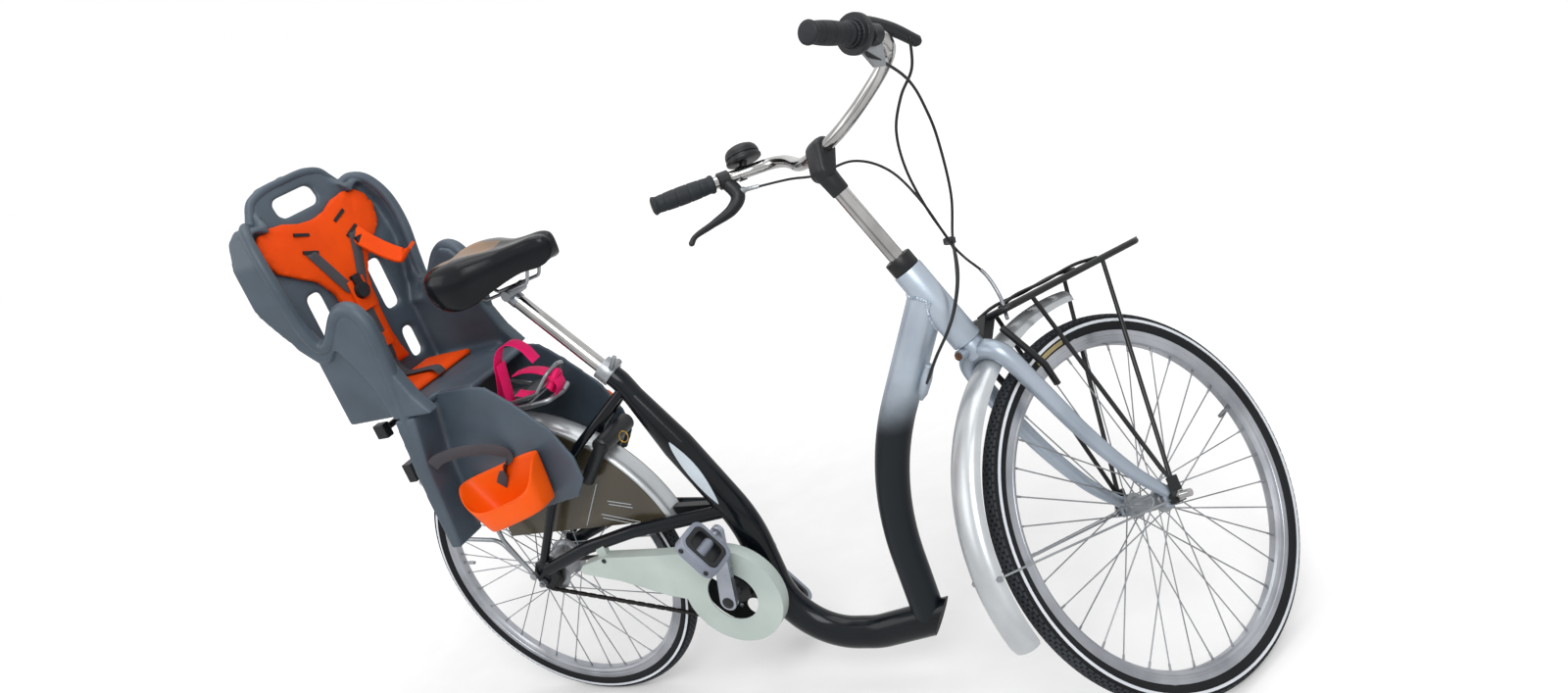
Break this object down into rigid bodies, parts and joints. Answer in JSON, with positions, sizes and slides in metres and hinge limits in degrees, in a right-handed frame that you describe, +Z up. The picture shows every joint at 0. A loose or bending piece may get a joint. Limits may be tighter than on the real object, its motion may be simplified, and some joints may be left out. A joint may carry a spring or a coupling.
{
  "type": "step-through family bicycle with child seat",
  "caption": "Low step-through bicycle with a moulded child seat over the rear wheel, a front luggage rack, mudguards and swept-back handlebar.",
  "frame": {"origin": "top of the saddle, where the rider sits and steadies the bicycle", "axes": "+X forward, +Y to the rider's left, +Z up"},
  "size_m": [1.8567, 0.7241, 1.3739],
  "materials": {
    "black_steel": "satin black paint",
    "frame_black": "gloss black paint",
    "black_plastic": "grained black",
    "chain_steel": "oiled dark steel",
    "guard_plastic": "pale grey green",
    "seat_plastic": "blue grey moulded plastic",
    "pad_orange": "orange padded cover",
    "smoked_plastic": "smoked and ribbed",
    "crank_aluminium": "polished",
    "frame_silver": "satin silver paint fading to black",
    "cup_orange": "orange moulded plastic",
    "chrome_plate": "polished",
    "cable_black": "sleeved cable",
    "mudguard_silver": "satin silver paint",
    "rim_aluminium": "satin",
    "spoke_steel": "drawn wire",
    "steel_grey": "zinc plated",
    "tyre_rubber": "matte block tread",
    "webbing_grey": "woven webbing",
    "grip_rubber": "soft black",
    "pedal_mix": "grey body with rubber pads",
    "strap_pink": "elastic luggage strap",
    "lamp_red": "red lens",
    "saddle_cover": "smooth black cover"
  },
  "bodies": {
    "frame": {"bottom_tube": "frame_black", "seat_tube": "frame_black", "down_tube": "frame_silver", "head_tube": "frame_silver", "headset_cup": "black_steel", "bottom_bracket": "frame_black", "chain_stays": "frame_black", "seat_stays": "frame_black", "rear_axle": "steel_grey", "seat_post": "chrome_plate", "seat_clamp": "steel_grey", "saddle": "saddle_cover", "saddle_rails": "steel_grey", "chain": "chain_steel", "chain_guard": "guard_plastic", "rear_mudguard": "mudguard_silver", "coat_guards": "smoked_plastic", "ring_lock": "black_plastic", "rear_rack": "steel_grey", "child_seat_shell": "seat_plastic", "child_seat_leg_guards": "seat_plastic", "foot_cups": "cup_orange", "child_seat_pads": "pad_orange", "child_seat_mount": "black_plastic", "rear_light": "lamp_red", "luggage_straps": "strap_pink", "harness": "webbing_grey", "seat_hoop": "steel_grey", "shift_cable": "cable_black", "rear_brake_cable": "cable_black", "cable_port": "black_plastic"},
    "front": {"front_axle": "chrome_plate", "fork": "frame_silver", "steering_column": "chrome_plate", "stem": "black_plastic", "handlebar": "chrome_plate", "right_grip": "grip_rubber", "left_grip": "grip_rubber", "gear_shifter": "black_plastic", "right_brake_lever": "black_steel", "left_brake_lever": "black_steel", "bell": "black_steel", "front_mudguard": "mudguard_silver", "front_rack": "black_steel", "front_brake": "black_steel", "front_stays": "steel_grey", "front_brake_cable": "cable_black", "cable_tie": "black_plastic"},
    "front_wheel": {"front_tyre": "tyre_rubber", "front_rim": "rim_aluminium", "front_spokes": "spoke_steel"},
    "rear_wheel": {"rear_tyre": "tyre_rubber", "rear_rim": "rim_aluminium", "rear_spokes": "spoke_steel", "rear_sprocket": "chain_steel"},
    "crank": {"crank_set": "crank_aluminium", "chainring": "black_steel"},
    "right_pedal": {"right_pedal": "pedal_mix"},
    "left_pedal": {"left_pedal": "pedal_mix"}
  },
  "joints": [
    {"name": "steering", "type": "hinge", "parent": "frame", "child": "front", "pos_m": [1.07721, 0, -0.78425], "axis": [-0.396, 0, 0.9182], "range_deg": [-133, 0], "deforming": ["shift_cable", "rear_brake_cable"]},
    {"name": "front_wheel_spin", "type": "hinge", "parent": "front", "child": "front_wheel", "pos_m": [1.10412, 0.06773, -0.77265], "axis": [-0.8427, 0.3971, -0.3635], "continuous": true},
    {"name": "rear_wheel_spin", "type": "hinge", "parent": "frame", "child": "rear_wheel", "pos_m": [-0.20503, 0, -0.75503], "axis": [0, 1, 0], "continuous": true},
    {"name": "crank_spin", "type": "hinge", "parent": "frame", "child": "crank", "pos_m": [0.28297, 0, -0.81603], "axis": [0, 1, 0], "continuous": true},
    {"name": "right_pedal_spin", "type": "hinge", "parent": "crank", "child": "right_pedal", "pos_m": [0.32266, -0.164, -0.65073], "axis": [0, 1, 0], "continuous": true},
    {"name": "left_pedal_spin", "type": "hinge", "parent": "crank", "child": "left_pedal", "pos_m": [0.24329, 0.164, -0.98133], "axis": [0, 1, 0], "continuous": true}
  ]
}
